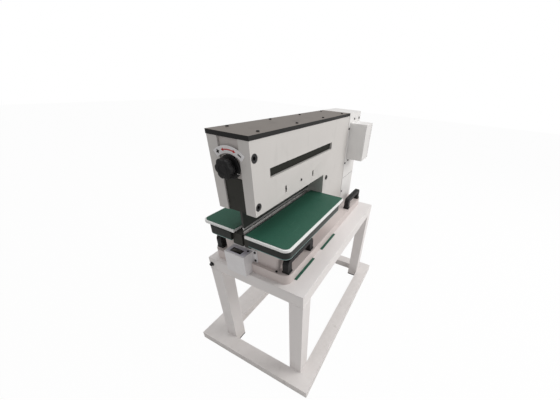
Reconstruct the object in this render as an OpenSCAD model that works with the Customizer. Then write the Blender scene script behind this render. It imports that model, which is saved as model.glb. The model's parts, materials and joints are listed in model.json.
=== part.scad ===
// Bench machine that parts scored circuit boards between two straight knives.
// A wedge bar, pushed by an air cylinder, drives the upper knife down onto the board.
// +X runs along the knives towards the air cylinder, -Y faces the operator, and the
// origin lies on the floor, under the centre of the floor frame.

/* [Floor frame] */
// Length of the floor frame, over all
frame_l = 1010; // [960:1:1200]
// Depth of the floor frame, over all
frame_d = 632; // [600:1:760]
// Height of the floor frame's rails
frame_h = 44; // [30:1:60]
// Width of each side rail
side_rail_w = 65; // [50:1:70]
// Width of the front rail
front_rail_w = 68; // [50:1:80]
// Width of each of the two rear rails
rear_rail_w = 57; // [45:1:60]

/* [Stand] */
// Height of the stand's top above the floor
stand_h = 562; // [480:1:700]
// Side of the square tube of the legs
leg_w = 60; // [45:1:64]
// Wall of the steel tubes
tube_wall = 3; // [2:0.5:4]
// Height of the rails under the top
stand_rail_h = 51; // [40:1:70]
// Thickness of the stand's top plate
stand_plate_t = 5; // [4:0.5:8]
// Thickness of the rubber pad under each leg
pad_t = 8; // [4:1:12]
// Radius of the earth bolt's shank
earth_bolt_r = 4; // [3:0.5:5]

/* [Machine base] */
// Length of the base slab
slab_l = 840; // [820:1:860]
// Depth of the base slab
slab_d = 354; // [345:1:370]
// Height of the base slab
slab_h = 42; // [30:1:60]
// Radius of the slab's corners in plan
slab_corner = 30; // [15:1:32]
// Distance from the stand's front edge to the slab
slab_setback = 76; // [60:1:90]
// Ledge left of the pedestal, where the counter's flange stands
ledge_left = 16; // [12:1:24]
// Ledge in front of the pedestal, for the front handles
ledge_front = 52; // [50:1:60]
// Ledge behind the pedestal, for the rear handles
ledge_rear = 52; // [50:1:60]
// Height of the pedestal
pedestal_h = 113; // [95:1:140]
// Length of each mat strip in front of the slab
strip_l = 150; // [100:1:160]
// Space between the two mat strips
strip_space = 74; // [40:1:90]
// Width of the mat strips under the slab's edge
strip_w = 11; // [8:1:14]
// Thickness of the mat strips
strip_t = 2; // [1:0.5:3]

/* [Handles] */
// Length of a lifting handle
handle_l = 195; // [160:1:220]
// Width of a lifting handle
handle_w = 30; // [24:1:34]
// Height of a lifting handle
handle_h = 58; // [50:1:66]
// Thickness of a handle's grip
grip_t = 20; // [16:1:24]
// Length of a handle's foot
handle_foot = 30; // [26:1:36]
// Thickness of a handle's foot
foot_t = 8; // [6:1:10]
// Distance from the slab's front or rear edge to the handle
handle_edge = 5; // [4:1:10]
// Distance from the slab's end to the first handle
handle_inset = 15; // [12:1:40]

/* [Head] */
// Length of the head
head_l = 720; // [700:1:740]
// Depth of the head over its two plates
head_d = 142; // [136:1:150]
// Height of the head's plates above the throat
head_h = 212; // [205:1:225]
// Thickness of the front and the rear plate
plate_t = 36; // [34:1:38]
// Thickness of the top plate
top_plate_t = 12; // [8:1:16]
// Height of the throat's ceiling above the slab
column_h = 241; // [238:1:255]
// Length of the open throat
throat_l = 464; // [455:1:475]
// Distance the head overhangs the slab on the left
head_overhang = 42; // [36:1:46]
// Distance from the slab's front edge to the head's front
head_setback = 79; // [74:1:84]

/* [Window] */
// Length of the window in the front plate
window_l = 451; // [400:1:470]
// Height of the window
window_h = 29; // [20:1:34]
// Distance from the head's left end to the window
window_x = 79; // [70:1:100]
// Height of the window's lower edge above the throat
window_z = 97; // [90:1:104]
// Depth of the dark strip behind the window's face
window_recess = 9; // [5:1:14]

/* [Boards' tables] */
// Height of the mats above the slab
table_h = 157; // [154:1:160]
// Reach of the front tray beyond the head's front
tray_reach = 109; // [80:1:125]
// Reach of the rear tray behind the head
rear_tray_reach = 116; // [80:1:125]
// Distance from the knives' plane to the front tray
tray_gap_front = 18; // [16:1:24]
// Distance from the knives' plane to the rear tray
tray_gap_rear = 36; // [34:1:44]
// Thickness of a tray
tray_t = 10; // [6:1:12]
// Thickness of a mat
mat_t = 2; // [1.5:0.5:3]
// White rim of the tray left around its mat
tray_rim = 6; // [4:1:12]
// Radius of a tray's outer corners
tray_corner = 24; // [10:1:30]
// Reach of the rear support behind the head
rear_support_reach = 88; // [60:1:95]

/* [Knives] */
// Thickness of a knife
knife_t = 8; // [6:1:8]
// Distance from the middle of the head to the knives' plane
knife_offset = 6; // [4:1:7]
// Gap between the knives' edges when open
knife_gap = 4.5; // [4:0.1:6]
// Length of the knives
knife_l = 438; // [400:1:438]
// Height of the upper knife
upper_knife_h = 116; // [112:1:120]
// Height of the lower knife
lower_knife_h = 56; // [40:1:56]
// Height of a knife's bevel
bevel_h = 10; // [6:1:12]
// Thickness of the upper knife's clamp bar
clamp_t = 12; // [9:1:13]

/* [Wedge drive] */
// Stroke of the wedge bar
wedge_stroke = 30; // [20:1:30]
// Height of the wedge bar's centre line above the throat
drive_h = 137; // [135:1:139]
// Height of the wedge bar
wedge_h = 42; // [40:1:44]
// Width of the wedge bar
wedge_w = 26; // [22:1:26]
// Fall of a ramp for each millimetre of stroke
ramp_slope = 0.1; // [0.08:0.01:0.1]
// Radius of a roller
roller_r = 11; // [10:0.5:12]
// Radius of a roller's pin
pin_r = 4; // [3:0.5:5]
// Radial clearance of a shaft in its bore
running = 0.05; // [0.03:0.01:0.08]
// Gap between sliding flat faces
slide_gap = 0.1; // [0.05:0.05:0.3]
// Distance between rollers
roller_pitch = 140; // [120:1:145]
// Radius of the piston rod
rod_r = 8; // [6:0.5:10]
// Radius of the cylinder's bore
cylinder_bore_r = 31.5; // [25:0.5:33]
// Side of the square cylinder body
cylinder_w = 80; // [72:1:84]

/* [Depth knob] */
// Radius of the knob over its lobes
knob_r = 31; // [26:0.5:32]
// Length of the knob
knob_l = 29; // [24:1:32]
// Radius of the knob's skirt
skirt_r = 33; // [32.5:0.5:33.5]
// Radius of the stop screw
stop_r = 6; // [5:0.5:8]
// Outer radius of the scale plate
scale_r = 84; // [78:1:90]
// Width of the scale plate across its arc
scale_w = 20; // [14:1:22]
// Half the angle of the scale plate
scale_half_angle = 40; // [30:1:42]

/* [Housing on the right] */
// Length of the cover over the air cylinder
cover_l = 162; // [150:1:170]
// Thickness of the sheet metal
sheet_t = 2; // [1.5:0.5:2.5]
// Thickness of the bulkhead at the end of the head
bulkhead_t = 12; // [10:1:16]
// Width of the control box
control_w = 102; // [90:1:110]
// Depth of the control box
control_d = 84; // [60:1:95]
// Height of the control box
control_h = 170; // [150:1:180]

/* [Counter] */
// Width of the counter's housing
counter_w = 92; // [70:1:95]
// Height of the counter's housing above the stand
counter_h = 92; // [78:1:94]
// Reach of the counter beyond the slab's left edge
counter_reach = 36; // [30:1:40]
// Travel of the reset button
button_travel = 2; // [1:0.5:2]

/* [Hidden] */
$fn = 48;

// Floor frame and stand
frame_x0 = -frame_l / 2;
frame_x1 = frame_l / 2;
frame_y0 = -frame_d / 2;
frame_y1 = frame_d / 2;
stand_x0 = frame_x0 + side_rail_w;
stand_x1 = frame_x1 - side_rail_w;
stand_y0 = frame_y0 + front_rail_w;
stand_y1 = frame_y1 - 2 * rear_rail_w;
plate_z0 = stand_h - stand_plate_t;
rail_z0 = plate_z0 - stand_rail_h;
vent_r = 4;
stand_corner_x = [stand_x0, stand_x1 - leg_w];
stand_corner_y = [stand_y0, stand_y1 - leg_w];
earth_bolt_z = rail_z0 + stand_rail_h / 2;
earth_bolt_y = stand_y1 - 14;

// Base slab and pedestal
slab_x0 = -slab_l / 2;
slab_x1 = slab_l / 2;
slab_y0 = stand_y0 + slab_setback;
slab_y1 = slab_y0 + slab_d;
slab_z1 = stand_h + slab_h;
head_x0 = slab_x0 - head_overhang;
head_x1 = head_x0 + head_l;
head_y0 = slab_y0 + head_setback;
head_y1 = head_y0 + head_d;
head_z0 = slab_z1 + column_h;
head_z1 = head_z0 + head_h;
column_x0 = head_x0 + throat_l;
ped_x0 = slab_x0 + ledge_left;
ped_x1 = column_x0;
ped_y0 = slab_y0 + ledge_front;
ped_y1 = slab_y1 - ledge_rear;
ped_z1 = slab_z1 + pedestal_h;
ped_corner = 14;

// Channel between the head's plates, and the knives under it
chan_y0 = head_y0 + plate_t;
chan_y1 = head_y1 - plate_t;
chan_mid = (chan_y0 + chan_y1) / 2;
knife_mid = chan_mid + knife_offset;
knife_y0 = knife_mid - knife_t / 2;
knife_y1 = knife_mid + knife_t / 2;
knife_x1 = column_x0 - 6;
knife_x0 = knife_x1 - knife_l;
table_z = slab_z1 + table_h;
tray_z1 = table_z - mat_t;
tray_z0 = tray_z1 - tray_t;
support_z0 = ped_z1;
tray_x0 = head_x0;
tray_x1 = column_x0 - 1;
front_tray_y0 = head_y0 - tray_reach;
front_tray_y1 = knife_mid - tray_gap_front;
rear_tray_y0 = knife_mid + tray_gap_rear;
rear_tray_y1 = head_y1 + rear_tray_reach;
rear_tray_step = 8;
support_end_gap = 24;
support_inset = 4;
lower_knife_z1 = table_z - 1;
lower_knife_z0 = lower_knife_z1 - lower_knife_h;
beam_top_z = tray_z0;
beam_slot_rise = 62;
beam_slot_z = slab_z1 + beam_slot_rise;
beam_nose_z = lower_knife_z0 - 1;
beam_nose_x = knife_x0 - 8;
lower_beam_y1 = rear_tray_y0 + 10;
lower_clamp_y0 = front_tray_y1 - 9;

// Moving knife and its drive
upper_edge_z = lower_knife_z1 + knife_gap;
upper_knife_z1 = upper_edge_z + upper_knife_h;
drive_z = head_z0 + drive_h;
wedge_z0 = drive_z - wedge_h / 2 - 3;
wedge_z1 = wedge_z0 + wedge_h;
wedge_y0 = chan_mid - wedge_w / 2;
wedge_y1 = chan_mid + wedge_w / 2;
wedge_end = 58;
wedge_start = 77;
rod_seat = 20;
wedge_x0 = head_x0 + wedge_start;
wedge_x1 = head_x1 - wedge_end;
roller_x = [wedge_x0 + 35, wedge_x0 + 35 + roller_pitch, wedge_x0 + 35 + 2 * roller_pitch];
notch_wall = 15;
notch_l = 75;
notch_h = notch_l * ramp_slope;
roller_gap = 0.3;
roller_z = wedge_z0 + notch_h - notch_wall * ramp_slope - roller_gap - roller_r;
roller_w = wedge_w - 2;
ear_t = 5;
ear_y0 = wedge_y0 - 1;
ear_y1 = wedge_y1 + 1;
ear_half = 14;
ear_z1 = roller_z + pin_r + 9;
beam_z0 = upper_knife_z1;
beam_z1 = roller_z - roller_r - 1.7;
beam_y0 = ear_y0 - ear_t;
beam_y1 = ear_y1 + ear_t;
beam_x0 = knife_x0 + 2;
beam_x1 = knife_x1;
key_w = 16;
key_depth = 10;
key_root = 6;
key_z0 = beam_z0 + 8;
key_z1 = beam_z1 + 6;
key_y0 = chan_mid - key_w / 2;
key_y1 = chan_mid + key_w / 2;
end_plate_t = 12;
end_plate_x1 = beam_x0 - key_root;
end_plate_x0 = end_plate_x1 - end_plate_t;
clamp_z0 = head_z0 + 5;
spring_x = [roller_x[0] + roller_pitch / 2, roller_x[1] + roller_pitch / 2];
spring_r = 6;
spring_seat_z = clamp_z0 + 6;
spring_seat_t = 6;
lug_z0 = beam_z0 + 22;
lug_half = 10;
lug_y0 = chan_y0 + 1;
lug_y1 = chan_y1 - 1;
spring_y = [(chan_y0 + beam_y0) / 2, (chan_y1 + beam_y1) / 2];
rail_gap_z = wedge_z1 + slide_gap;
rail_t = 14;
rail_start = 22;
knife_screw_sink = 5;
knife_shank = 12;
knife_screw_x = [for (i = [0:5]) knife_x0 + 30 + i * (knife_l - 60) / 5];

// Depth stop
bracket_x0 = end_plate_x0 + 2;
bracket_x1 = bracket_x0 + 20;
bracket_z0 = drive_z - 32;
bracket_z1 = head_z1 - 2;
skirt_x0 = head_x0 - 4;
skirt_t = 6;
knob_x1 = skirt_x0;
knob_x0 = knob_x1 - knob_l;
nut_w = 28;
nut_t = 10;
bush_wall = 3;
bush_flange_r = 13;
bush_flange_t = 2;
nut_x0 = bracket_x1 + bush_flange_t + 2;
nut_travel = 1.2;
nut_hub_r = stop_r + 5;
nut_x1 = wedge_x0 - wedge_stroke - nut_travel - slide_gap;
stop_x1 = nut_x1 - 2 * nut_travel;
scale_t = 1.5;
scale_z = drive_z + skirt_r + 2 + scale_w - scale_r;

// Right-hand housing
bulk_x1 = head_x1 + bulkhead_t;
cover_x1 = head_x1 + cover_l;
cover_y0 = head_y0 - sheet_t;
cover_y1 = head_y1 + sheet_t;
cover_z1 = head_z1 + top_plate_t;
cylinder_l = 122;
cyl_x1 = bulk_x1 + cylinder_l;
cyl_cap = 14;
piston_t = 16;
piston_x0 = cyl_x1 - cyl_cap - 2 - piston_t;
control_x0 = head_x1 + 18;
control_z1 = head_z1 - 31;
control_y0 = cover_y0 - control_d;
screw_r = 2.5;
screw_head_r = 4.5;
screw_head_h = 3;
edge_screw_x = head_x1 + bulkhead_t / 2;
edge_screw_drop = 166;
edge_screw_top = 56;
edge_screw_z = [head_z0 - edge_screw_drop, head_z0 - 9, head_z1 - edge_screw_top];

// Counter
counter_x0 = slab_x0 - counter_reach;
counter_x1 = ped_x0 - 2;
counter_y0 = chan_mid + 11;
counter_y1 = counter_y0 + counter_w;
counter_z0 = stand_h + 1;
counter_z1 = stand_h + counter_h;
counter_face_t = 1.5;
flange_reach = 19;
flange_rise = 6;
button_r = 4;
button_gap = 0.3;
button_x = counter_x1 - 12;
button_y = counter_y0 + 12;

corner_side = [[0, 0], [1, 0], [1, 1], [0, 1]];

module block(lo, hi) {
    translate(lo)
        cube(hi - lo);
}

// Block whose upright corners are rounded: r lists them from the left front one,
// anticlockwise seen from above
module round_block(lo, hi, r) {
    difference() {
        block(lo, hi);
        for (i = [0:3])
            if (r[i] > 0)
                corner_cut(lo, hi, corner_side[i], r[i]);
    }
}

module corner_cut(lo, hi, side, r) {
    cx = side.x == 0 ? lo.x + r : hi.x - r;
    cy = side.y == 0 ? lo.y + r : hi.y - r;
    x0 = side.x == 0 ? lo.x - 1 : cx;
    y0 = side.y == 0 ? lo.y - 1 : cy;
    difference() {
        translate([x0, y0, lo.z - 1])
            cube([r + 1, r + 1, hi.z - lo.z + 2]);
        translate([cx, cy, lo.z - 2])
            cylinder(r = r, h = hi.z - lo.z + 4);
    }
}

// Tube with closed ends and a drain hole in its underside
module closed_tube(lo, hi, wall) {
    inset = [wall, wall, wall];
    difference() {
        block(lo, hi);
        block(lo + inset, hi - inset);
        translate([(lo.x + hi.x) / 2, (lo.y + hi.y) / 2, lo.z - 1])
            cylinder(r = vent_r, h = wall + 2);
    }
}

module x_rod(r, x0, x1) {
    translate([x0, 0, 0])
        rotate([0, 90, 0])
            cylinder(r = r, h = x1 - x0);
}

module y_rod(r, y0, y1) {
    translate([0, y0, 0])
        rotate([-90, 0, 0])
            cylinder(r = r, h = y1 - y0);
}

// Cap screw that stands on z = 0 with its head up and its shank down
module cap_screw(r, shank, head_r, head_h) {
    difference() {
        cylinder(r = head_r, h = head_h);
        translate([0, 0, head_h * 0.45])
            cylinder(r = head_r * 0.5, h = head_h, $fn = 6);
    }
    translate([0, 0, -shank])
        cylinder(r = r, h = shank + 0.01);
}

module facing_front() {
    rotate([90, 0, 0])
        children();
}

module facing_left() {
    rotate([0, -90, 0])
        children();
}

// Floor frame
module floor_side_rails() {
    color("gainsboro")
        for (x0 = [frame_x0, stand_x1])
            closed_tube([x0, frame_y0, 0], [x0 + side_rail_w, frame_y1, frame_h], tube_wall);
}

module floor_cross_rails() {
    color("gainsboro") {
        closed_tube([stand_x0, frame_y0, 0], [stand_x1, stand_y0, frame_h], tube_wall);
        for (i = [0:1])
            closed_tube([stand_x0, stand_y1 + i * rear_rail_w, 0],
                [stand_x1, stand_y1 + (i + 1) * rear_rail_w, frame_h], tube_wall);
    }
}

// Stand
module stand_legs() {
    color("lightgray")
        for (x = stand_corner_x)
            for (y = stand_corner_y)
                closed_tube([x, y, pad_t], [x + leg_w, y + leg_w, rail_z0], tube_wall);
}

module leg_pads() {
    color("dimgray")
        for (x = stand_corner_x)
            for (y = stand_corner_y)
                block([x, y, 0], [x + leg_w, y + leg_w, pad_t]);
}

module stand_rails() {
    color("whitesmoke")
        difference() {
            union() {
                for (y = stand_corner_y)
                    closed_tube([stand_x0, y, rail_z0], [stand_x1, y + leg_w, plate_z0],
                        tube_wall);
                for (x = stand_corner_x)
                    closed_tube([x, stand_y0 + leg_w, rail_z0],
                        [x + leg_w, stand_y1 - leg_w, plate_z0], tube_wall);
            }
            translate([0, earth_bolt_y, earth_bolt_z])
                x_rod(earth_bolt_r, stand_x0 - 1, stand_x0 + tube_wall + 1);
        }
}

module stand_top_plate() {
    color("mistyrose")
        block([stand_x0, stand_y0, plate_z0], [stand_x1, stand_y1, stand_h]);
}

module earth_bolt() {
    washer_t = 1.5;
    color("black")
        translate([stand_x0, earth_bolt_y, earth_bolt_z])
            facing_left() {
                difference() {
                    cylinder(r = earth_bolt_r * 2.4, h = washer_t);
                    translate([0, 0, -1])
                        cylinder(r = earth_bolt_r, h = washer_t + 2);
                }
                translate([0, 0, washer_t])
                    cap_screw(earth_bolt_r, 16, earth_bolt_r * 1.75, 8);
            }
}

// Machine base
module base_slab() {
    color("mistyrose")
        difference() {
            round_block([slab_x0, slab_y0, stand_h], [slab_x1, slab_y1, slab_z1],
                [slab_corner, slab_corner, slab_corner, slab_corner]);
            at_base_screws()
                screw_hole(base_shank);
        }
}

module pedestal() {
    color("mistyrose")
        difference() {
            round_block([ped_x0, ped_y0, slab_z1], [ped_x1, ped_y1, ped_z1],
                [ped_corner, 0, 0, ped_corner]);
            block([ped_x0 - 1, lower_clamp_y0, beam_slot_z],
                [ped_x1 + 1, lower_beam_y1, ped_z1 + 1]);
            at_flange_screws()
                screw_hole(flange_shank);
        }
}

module edge_strips() {
    first_x = slab_x0 + handle_inset + handle_foot;
    color("darkslategray")
        for (x = [first_x, first_x + strip_l + strip_space])
            block([x, slab_y0 - strip_w, stand_h], [x + strip_l, slab_y0, stand_h + strip_t]);
}

base_screw_x = [slab_x0 + 9, slab_x1 - 9];
base_screw_y = [head_y0 - 25, head_y1 + 45];
base_shank = 24;
module at_base_screws() {
    for (x = base_screw_x)
        for (y = base_screw_y)
            translate([x, y, slab_z1])
                children();
}

module base_screws() {
    color("black")
        at_base_screws()
            cap_screw(screw_r, base_shank, screw_head_r, screw_head_h);
}

// Lifting handle: an arched grip on two feet, standing on the slab
module handle(x0, y0) {
    opening_inset = grip_t + 8;
    difference() {
        union() {
            for (x = [x0, x0 + handle_l - handle_foot])
                block([x, y0, slab_z1], [x + handle_foot, y0 + handle_w, slab_z1 + foot_t]);
            block([x0, y0 + 3, slab_z1 + foot_t],
                [x0 + handle_l, y0 + handle_w - 3, slab_z1 + handle_h]);
        }
        block([x0 + opening_inset, y0 - 1, slab_z1 - 1],
            [x0 + handle_l - opening_inset, y0 + handle_w + 1, slab_z1 + handle_h - grip_t]);
        for (side = [0:1])
            translate([side == 0 ? x0 : x0 + handle_l, 0, slab_z1 + handle_h])
                mirror([side, 0, 0])
                    difference() {
                        translate([-1, y0 - 1, -grip_t])
                            cube([grip_t + 1, handle_w + 2, grip_t + 1]);
                        translate([grip_t, 0, -grip_t])
                            y_rod(grip_t, y0 - 2, y0 + handle_w + 2);
                    }
    }
}

front_handle_y = slab_y0 + handle_edge;
rear_handle_y = slab_y1 - handle_edge - handle_w;
handle_x = [slab_x0 + handle_inset, slab_x1 - handle_inset - handle_l];
module front_handles() {
    color("black")
        for (x = handle_x)
            handle(x, front_handle_y);
}

module rear_handles() {
    color("black")
        for (x = handle_x)
            handle(x, rear_handle_y);
}

// Tables
module front_support() {
    color("darkslategray")
        round_block([tray_x0 + support_inset, front_tray_y0 + support_inset, support_z0],
            [tray_x1 - support_end_gap, lower_clamp_y0, tray_z0],
            [tray_corner, tray_corner, 0, 0]);
}

module rear_support() {
    color("darkslategray")
        round_block([tray_x0 + support_inset, lower_beam_y1, support_z0],
            [tray_x1 - support_end_gap, head_y1 + rear_support_reach, tray_z0],
            [0, 0, tray_corner, tray_corner]);
}

module front_tray() {
    color("white")
        round_block([tray_x0, front_tray_y0, tray_z0], [tray_x1, front_tray_y1, tray_z1],
            [tray_corner, tray_corner / 3, 0, 0]);
}

module rear_tray() {
    color("white")
        round_block([tray_x0 + rear_tray_step, rear_tray_y0, tray_z0],
            [tray_x1, rear_tray_y1, tray_z1], [0, 0, tray_corner / 3, tray_corner]);
}

module mats() {
    inner = tray_corner - tray_rim;
    color("seagreen") {
        round_block([tray_x0 + tray_rim, front_tray_y0 + tray_rim, tray_z1],
            [tray_x1 - 1, front_tray_y1 - 1, table_z], [inner, inner / 3, 0, 0]);
        round_block([tray_x0 + rear_tray_step + tray_rim, rear_tray_y0 + 1, tray_z1],
            [tray_x1 - 1, rear_tray_y1 - tray_rim, table_z], [0, 0, inner / 3, inner]);
    }
}

// Fixed lower knife
module lower_beam() {
    color("dimgray") {
        block([ped_x0, knife_y1, beam_slot_z], [knife_x1, lower_beam_y1, beam_top_z]);
        block([beam_nose_x, knife_y1, beam_nose_z], [ped_x0, lower_beam_y1, beam_top_z]);
    }
}

module lower_clamp() {
    color("dimgray") {
        block([ped_x0, lower_clamp_y0, beam_slot_z], [knife_x1, knife_y0, beam_top_z - 6]);
        block([beam_nose_x, lower_clamp_y0, beam_nose_z], [ped_x0, knife_y0, beam_top_z - 6]);
    }
}

module knife_outline(z0, z1, edge_z) {
    bevel = edge_z > z0 ? -bevel_h : bevel_h;
    back_z = edge_z > z0 ? z0 : z1;
    polygon([[knife_y0, back_z], [knife_y1, back_z], [knife_y1, edge_z + bevel],
        [knife_mid + 0.4, edge_z], [knife_mid - 0.4, edge_z], [knife_y0, edge_z + bevel]]);
}

module knife_bar(x0, x1, z0, z1, edge_z) {
    translate([x0, 0, 0])
        rotate([90, 0, 90])
            linear_extrude(height = x1 - x0)
                knife_outline(z0, z1, edge_z);
}

module lower_knife() {
    color("silver")
        knife_bar(knife_x0, knife_x1, lower_knife_z0, lower_knife_z1, lower_knife_z1);
}

// Head
window_corner = 4;
window_gap = 0.3;
window_strip_t = 3;
window_x0 = head_x0 + window_x;
window_z0 = head_z0 + window_z;
bolt_x = head_x0 + 16;
bolt_z = [head_z0 + 27, head_z1 - 45];
bolt_head_r = 12;
bolt_r = 6;
bolt_sink = 14;
bolt_shank = 20;
column_bolt_x = column_x0 + 30;
column_bolt_z = head_z0 - 20;
column_bolt_low_z = slab_z1 + 60;
adjust_inset = [162, 358];
adjust_x = [for (d = adjust_inset) head_x0 + d];
adjust_z = head_z0 + 36;
adjust_r = 5;
adjust_slot = 12;
small_screw_inset = 265;
small_screw_x = head_x0 + small_screw_inset;
small_screw_z = head_z0 + 38;

module side_plate(y0) {
    difference() {
        block([head_x0, y0, slab_z1], [head_x1, y0 + plate_t, head_z1]);
        block([head_x0 - 1, y0 - 1, slab_z1 - 1], [column_x0, y0 + plate_t + 1, head_z0]);
    }
}

// The window's rounded outline between two depths, smaller all round by gap
module window_solid(gap, y0, y1) {
    x0 = window_x0 + gap;
    x1 = window_x0 + window_l - gap;
    z0 = window_z0 + gap;
    z1 = window_z0 + window_h - gap;
    r = window_corner - gap;
    for (x = [x0 + r, x1 - r])
        for (z = [z0 + r, z1 - r])
            translate([x, 0, z])
                y_rod(r, y0, y1);
    block([x0 + r, y0, z0], [x1 - r, y1, z1]);
    block([x0, y0, z0 + r], [x1, y1, z1 - r]);
}

module front_plate() {
    color("gainsboro")
        difference() {
            side_plate(head_y0);
            window_solid(0, head_y0 - 1, chan_y0 + 1);
            for (z = bolt_z)
                translate([bolt_x, 0, z])
                    y_rod(bolt_head_r + 1, head_y0 - 1, head_y0 + bolt_sink);
            for (x = adjust_x)
                block([x - adjust_r, head_y0 - 1, adjust_z - adjust_slot],
                    [x + adjust_r, head_y0 + 8, adjust_z + adjust_slot]);
            at_top_screws()
                screw_hole(top_shank);
            at_plate_bolts()
                bolt_hole();
            at_column_bolts()
                bolt_hole();
            translate([small_screw_x, head_y0, small_screw_z])
                facing_front()
                    screw_hole(sheet_shank);
        }
}

module rear_plate() {
    color("gainsboro")
        difference() {
            side_plate(chan_y1);
            at_top_screws()
                screw_hole(top_shank);
        }
}

module window_strip() {
    strip_y0 = head_y0 + window_recess;
    color([0.2, 0.21, 0.18])
        window_solid(window_gap, strip_y0, strip_y0 + window_strip_t);
}

module top_plate() {
    color("dimgray")
        difference() {
            block([head_x0 - 1, head_y0 - 1, head_z1],
                [head_x1, head_y1 + 1, head_z1 + top_plate_t]);
            at_top_screws()
                screw_hole(top_shank);
        }
}

module at_plate_bolts() {
    for (z = bolt_z)
        translate([bolt_x, head_y0 + bolt_sink, z])
            facing_front()
                children();
}

module at_column_bolts() {
    for (z = [column_bolt_z, column_bolt_low_z])
        translate([column_bolt_x, head_y0, z])
            facing_front()
                children();
}

module bolt_hole() {
    translate([0, 0, -bolt_shank])
        cylinder(r = bolt_r + running, h = bolt_shank + 1);
}

module plate_bolts() {
    color("black") {
        at_plate_bolts()
            cap_screw(bolt_r, bolt_shank, bolt_head_r, bolt_sink - 1);
        at_column_bolts()
            cap_screw(bolt_r, bolt_shank, bolt_head_r - 2, screw_head_h);
    }
}

module adjusting_screws() {
    color("dimgray")
        for (x = adjust_x)
            translate([x, head_y0 + 8, adjust_z])
                facing_front()
                    cylinder(r = adjust_r - 0.3, h = 8.5);
}

// Cap screws of one size: on the top plate, the cover and the counter's flange
top_screw_end = 60;
top_screw_x = [for (i = [0:3]) head_x0 + top_screw_end + i * (head_l - 2 * top_screw_end) / 3];
top_screw_y = [head_y0 + plate_t / 2, head_y1 - plate_t / 2];
top_shank = top_plate_t + 14;
edge_shank = sheet_t + 12;
sheet_shank = 8;
flange_shank = 12;

module at_top_screws() {
    for (x = top_screw_x)
        for (y = top_screw_y)
            translate([x, y, head_z1 + top_plate_t])
                children();
}

module at_edge_screws() {
    for (z = edge_screw_z)
        translate([edge_screw_x, cover_y0, z])
            facing_front()
                children();
}

module at_sheet_screws() {
    above_z = control_z1 + 14;
    below_z = control_z1 - control_h - 14;
    for (p = [[52, above_z], [122, above_z], [30, below_z]])
        translate([control_x0 + p[0], cover_y0, p[1]])
            facing_front()
                children();
}

module at_flange_screws() {
    for (z = [slab_z1 + 9, counter_z1 - 4])
        translate([counter_x1, counter_y0 - flange_reach / 2, z])
            facing_left()
                children();
}

module screw_hole(shank) {
    translate([0, 0, -shank])
        cylinder(r = screw_r + running, h = shank + 1);
}

module cover_screws() {
    color("black") {
        at_top_screws()
            cap_screw(screw_r, top_shank, screw_head_r, screw_head_h);
        at_edge_screws()
            cap_screw(screw_r, edge_shank, screw_head_r, screw_head_h);
        at_sheet_screws()
            cap_screw(screw_r, sheet_shank, screw_head_r, screw_head_h);
        at_flange_screws()
            cap_screw(screw_r, flange_shank, screw_head_r, screw_head_h);
        translate([small_screw_x, head_y0, small_screw_z])
            facing_front()
                cap_screw(screw_r, sheet_shank, screw_head_r, screw_head_h - 1);
    }
}

module end_plate() {
    color("dimgray")
        block([end_plate_x0, chan_y0, head_z0], [end_plate_x1, chan_y1, bracket_z0]);
}

module knob_bracket() {
    color("lightgray")
        difference() {
            block([bracket_x0, chan_y0, bracket_z0], [bracket_x1, chan_y1, bracket_z1]);
            translate([0, chan_mid, drive_z])
                x_rod(stop_r + running + bush_wall, bracket_x0 - 1, bracket_x1 + 1);
        }
}

module knob_bush() {
    color("darkgoldenrod")
        translate([0, chan_mid, drive_z])
            difference() {
                union() {
                    x_rod(stop_r + running + bush_wall, bracket_x0, bracket_x1);
                    x_rod(bush_flange_r, bracket_x1, bracket_x1 + bush_flange_t);
                }
                x_rod(stop_r + running, bracket_x0 - 1, bracket_x1 + bush_flange_t + 1);
            }
}

module scale_plate() {
    half = scale_half_angle;
    steps = 16;
    outer = [for (i = [0:steps]) let (a = -half + 2 * half * i / steps)
        [scale_r * cos(a), scale_r * sin(a)]];
    inner = [for (i = [steps:-1:0]) let (a = -half + 2 * half * i / steps)
        [(scale_r - scale_w) * cos(a), (scale_r - scale_w) * sin(a)]];
    color("white")
        translate([head_x0, chan_mid, scale_z])
            rotate([0, -90, 0])
                linear_extrude(height = scale_t)
                    polygon(concat(outer, inner));
}

module depth_knob() {
    lobes = 6;
    lobe_r = 9;
    color("black")
        translate([0, chan_mid, drive_z])
            difference() {
                union() {
                    x_rod(knob_r - 6, knob_x0, knob_x1);
                    for (i = [0:lobes - 1])
                        rotate([i * 360 / lobes, 0, 0])
                            translate([0, 0, knob_r - lobe_r])
                                x_rod(lobe_r, knob_x0 + 2, knob_x1 - 4);
                }
                x_rod(stop_r, knob_x0 + 6, knob_x1 + 1);
            }
}

module knob_skirt() {
    color("black")
        translate([0, chan_mid, drive_z])
            difference() {
                x_rod(skirt_r, skirt_x0, skirt_x0 + skirt_t);
                x_rod(stop_r, skirt_x0 - 1, skirt_x0 + skirt_t + 1);
            }
}

module stop_screw() {
    color("silver")
        translate([0, chan_mid, drive_z])
            x_rod(stop_r, knob_x0 + 6, stop_x1);
}

// Nut that the side plates keep from turning; its hub is the wedge bar's stop
module stop_nut() {
    color("silver")
        difference() {
            union() {
                block([nut_x0, chan_y0 + slide_gap, drive_z - nut_w / 2],
                    [nut_x0 + nut_t, chan_y1 - slide_gap, drive_z + nut_w / 2]);
                translate([0, chan_mid, drive_z])
                    x_rod(nut_hub_r, nut_x0 + nut_t, nut_x1);
            }
            translate([0, chan_mid, drive_z])
                x_rod(stop_r + running, nut_x0 - 1, nut_x1 + 1);
        }
}

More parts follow.
